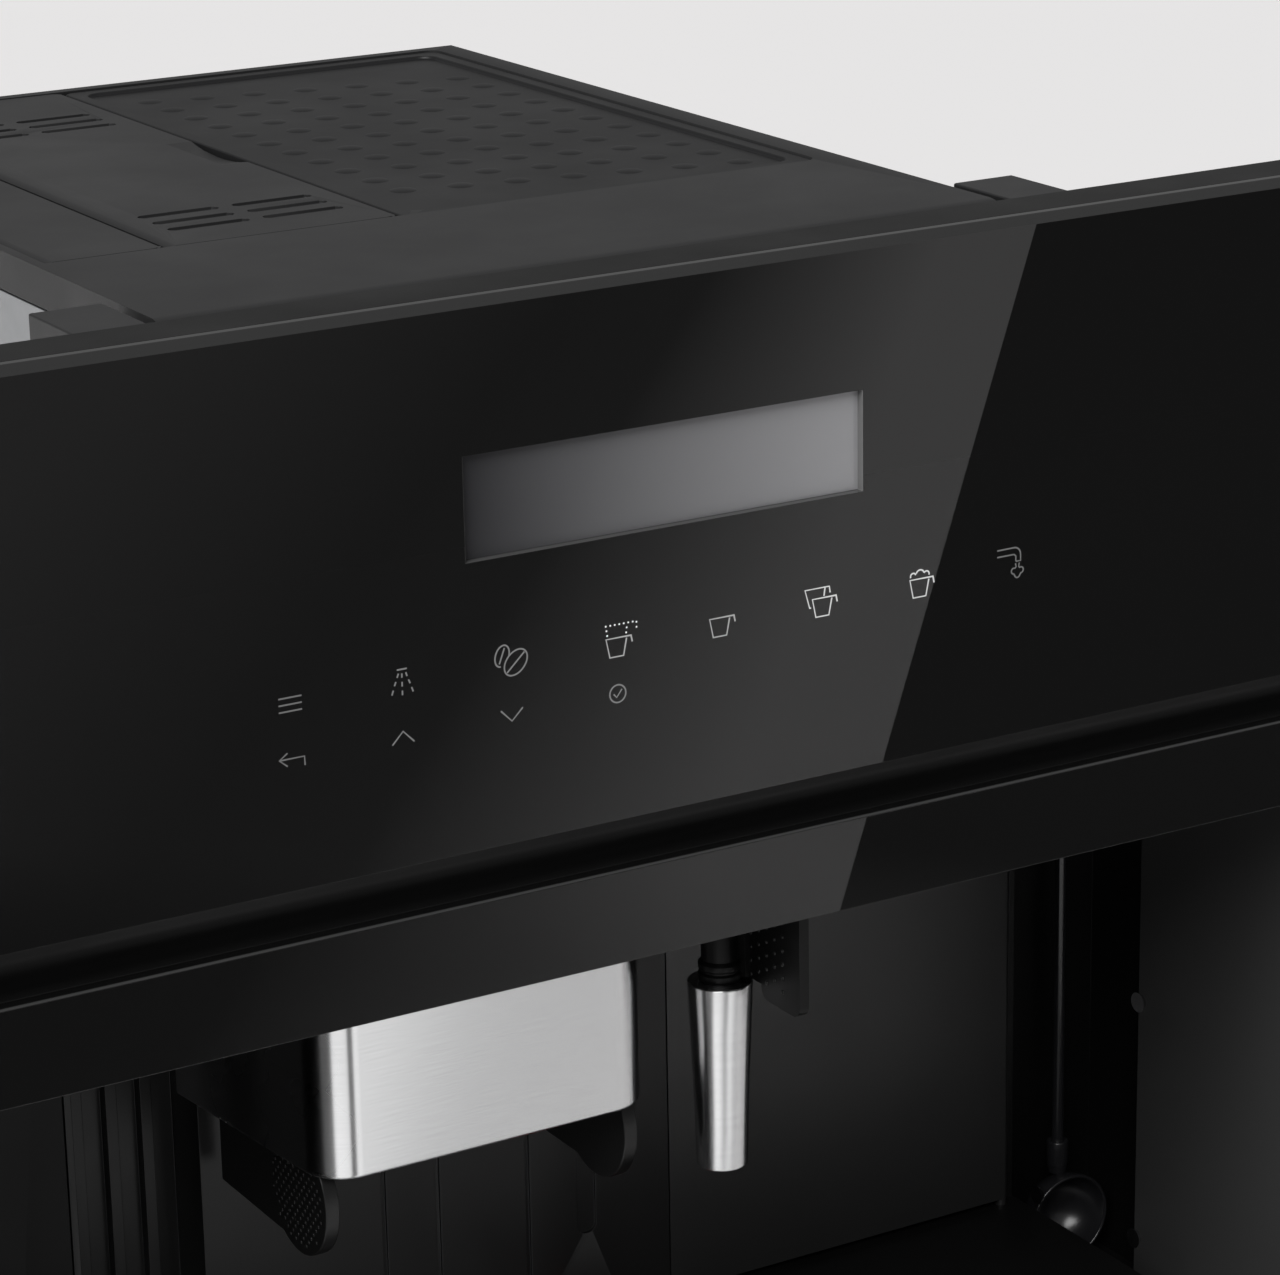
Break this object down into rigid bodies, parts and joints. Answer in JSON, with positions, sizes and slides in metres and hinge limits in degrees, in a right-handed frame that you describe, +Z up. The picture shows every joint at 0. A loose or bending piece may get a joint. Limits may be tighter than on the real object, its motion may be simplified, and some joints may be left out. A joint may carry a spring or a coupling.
{
  "type": "built in coffee machine",
  "caption": "Built in bean-to-cup coffee machine with a black glass panel, handle bar, wide cup niche, height adjustable spout, steam wand and lidded deck, on pull-out rails.",
  "frame": {"origin": "middle of the footprint, on the shelf that the mounting plate is screwed to", "axes": "+X right seen from the front, +Y back into the cabinet, +Z up"},
  "size_m": [0.594, 0.395, 0.455],
  "materials": {
    "black_glass": "gloss black back-painted glass with a polished top edge",
    "display_glass": "smoked grey display window",
    "gloss_black": "gloss black",
    "deck_plastic": "fine textured dark grey",
    "niche_plastic": "satin black",
    "black_plastic": "satin black",
    "scoop_plastic": "polished dark",
    "brushed_steel": "brushed stainless steel",
    "sheet_steel": "zinc coated sheet",
    "smoked_plastic": "smoked clear plastic",
    "white_plastic": "off white engineering plastic",
    "red_plastic": "red float",
    "machined_steel": "hardened tool steel",
    "motor_metal": "zinc plated motor can",
    "boiler_aluminium": "cast",
    "circuit_board": "green laminate",
    "silicone": "clear silicone hose"
  },
  "bodies": {
    "cabinet_mount": {"mounting_plate": "sheet_steel", "rail_outer": "sheet_steel"},
    "rail_middle": {"rail_middle": "sheet_steel"},
    "machine": {"base_pan": "sheet_steel", "rail_inner": "sheet_steel", "fascia_frame": "gloss_black", "control_glass": "black_glass", "display_window": "display_glass", "control_board": "circuit_board", "grip_channel": "niche_plastic", "handle_bar": "gloss_black", "lower_panel": "gloss_black", "front_bracket": "deck_plastic", "niche_back": "niche_plastic", "niche_left": "niche_plastic", "niche_right": "niche_plastic", "niche_roof": "niche_plastic", "service_bay": "niche_plastic", "left_casing": "sheet_steel", "right_casing": "sheet_steel", "rear_panel": "sheet_steel", "deck_frame": "deck_plastic", "cup_plate": "deck_plastic", "brush_well": "black_plastic", "bean_hopper": "smoked_plastic", "grinder_housing": "white_plastic", "grinder_motor": "motor_metal", "coffee_chute": "black_plastic", "powder_funnel": "black_plastic", "brew_frame": "white_plastic", "gear_motor": "motor_metal", "boiler": "boiler_aluminium", "pump": "black_plastic", "power_board": "circuit_board", "inlet_socket": "black_plastic", "tank_socket": "black_plastic", "spout_feed": "machined_steel", "wand_socket": "black_plastic", "water_hoses": "silicone"},
    "spout": {"spout_sleeve": "brushed_steel", "spout_body": "black_plastic"},
    "wand": {"wand_tube": "black_plastic", "wand_grip": "black_plastic"},
    "wand_sleeve": {"wand_sleeve": "brushed_steel"},
    "service_door": {"service_door": "gloss_black"},
    "grounds_container": {"grounds_container": "black_plastic"},
    "drip_tray": {"drip_tray": "black_plastic"},
    "cup_grid": {"cup_grid": "brushed_steel"},
    "tray_float": {"tray_float": "red_plastic"},
    "water_tank": {"water_tank": "smoked_plastic"},
    "tank_lid": {"tank_lid": "black_plastic"},
    "lower_burr": {"lower_burr": "machined_steel"},
    "upper_burr": {"upper_burr": "machined_steel"},
    "grind_knob": {"grind_knob": "black_plastic"},
    "brew_chamber": {"brew_chamber": "white_plastic"},
    "brew_spindle": {"brew_spindle": "machined_steel"},
    "scoop": {"scoop": "scoop_plastic"},
    "power_switch": {"power_switch": "black_plastic"},
    "bean_lid": {"bean_lid": "deck_plastic"},
    "accessory_lid": {"accessory_lid": "deck_plastic"}
  },
  "joints": [
    {"name": "machine_slide", "type": "slide", "parent": "cabinet_mount", "child": "machine", "axis": [0, -1, 0], "range_m": [0, 0.3]},
    {"name": "rail_middle_slide", "type": "slide", "parent": "cabinet_mount", "child": "rail_middle", "axis": [0, -1, 0], "range_m": [0, 0.15]},
    {"name": "spout_height", "type": "slide", "parent": "machine", "child": "spout", "axis": [0, 0, 1], "range_m": [-0.02, 0.025]},
    {"name": "wand_swing", "type": "hinge", "parent": "machine", "child": "wand", "pos_m": [0.0395, -0.1125, 0.275], "axis": [0, 0, 1], "range_deg": [0, 40]},
    {"name": "sleeve_pull", "type": "slide", "parent": "wand", "child": "wand_sleeve", "axis": [0, 0, -1], "range_m": [0, 0.04]},
    {"name": "service_door_hinge", "type": "hinge", "parent": "machine", "child": "service_door", "pos_m": [0.214, -0.0655, 0.15], "axis": [0, 0, 1], "range_deg": [0, 90]},
    {"name": "grounds_lift", "type": "slide", "parent": "service_door", "child": "grounds_container", "axis": [0, 0, 1], "range_m": [0, 0.05]},
    {"name": "tray_slide", "type": "slide", "parent": "machine", "child": "drip_tray", "axis": [0, -1, 0], "range_m": [0, 0.12]},
    {"name": "grid_lift", "type": "slide", "parent": "drip_tray", "child": "cup_grid", "axis": [0, 0, 1], "range_m": [0, 0.03]},
    {"name": "float_rise", "type": "slide", "parent": "drip_tray", "child": "tray_float", "axis": [0, 0, 1], "range_m": [0, 0.006]},
    {"name": "tank_slide", "type": "slide", "parent": "machine", "child": "water_tank", "axis": [-1, 0, 0], "range_m": [0, 0.12]},
    {"name": "tank_lid_lift", "type": "slide", "parent": "water_tank", "child": "tank_lid", "axis": [0, 0, 1], "range_m": [0, 0.025]},
    {"name": "lower_burr_spin", "type": "hinge", "parent": "machine", "child": "lower_burr", "pos_m": [-0.016, 0.0305, 0.32], "axis": [0, 0, 1], "continuous": true},
    {"name": "knob_turn", "type": "hinge", "parent": "machine", "child": "grind_knob", "pos_m": [-0.044, 0.079, 0.4], "axis": [0, 0, 1], "range_deg": [-75, 75]},
    {"name": "upper_burr_turn", "type": "hinge", "parent": "machine", "child": "upper_burr", "pos_m": [-0.016, 0.0305, 0.36], "axis": [0, 0, 1], "range_deg": [-21, 21]},
    {"name": "brew_lift", "type": "slide", "parent": "machine", "child": "brew_chamber", "axis": [0, 0, 1], "range_m": [0, 0.045]},
    {"name": "spindle_turn", "type": "hinge", "parent": "machine", "child": "brew_spindle", "pos_m": [0.113, 0.1205, 0.15], "axis": [0, 0, 1], "range_deg": [0, 722]},
    {"name": "scoop_lift", "type": "slide", "parent": "machine", "child": "scoop", "axis": [0, 0, 1], "range_m": [0, 0.015]},
    {"name": "power_rocker", "type": "hinge", "parent": "machine", "child": "power_switch", "pos_m": [-0.064, 0.1885, 0.036], "axis": [1, 0, 0], "range_deg": [0, 16]},
    {"name": "bean_lid_hinge", "type": "hinge", "parent": "machine", "child": "bean_lid", "pos_m": [-0.0945, 0.0575, 0.4491], "axis": [0, -1, 0], "range_deg": [0, 88]},
    {"name": "accessory_lid_hinge", "type": "hinge", "parent": "machine", "child": "accessory_lid", "pos_m": [-0.1344, 0.0575, 0.4491], "axis": [0, -1, 0], "range_deg": [0, 88]}
  ],
  "couplings": [
    {"joint": "rail_middle_slide", "follows": "machine_slide", "ratio": 0.5},
    {"joint": "upper_burr_turn", "follows": "knob_turn", "ratio": -0.27273},
    {"joint": "spindle_turn", "follows": "brew_lift", "rad_per_m": 279.25}
  ]
}
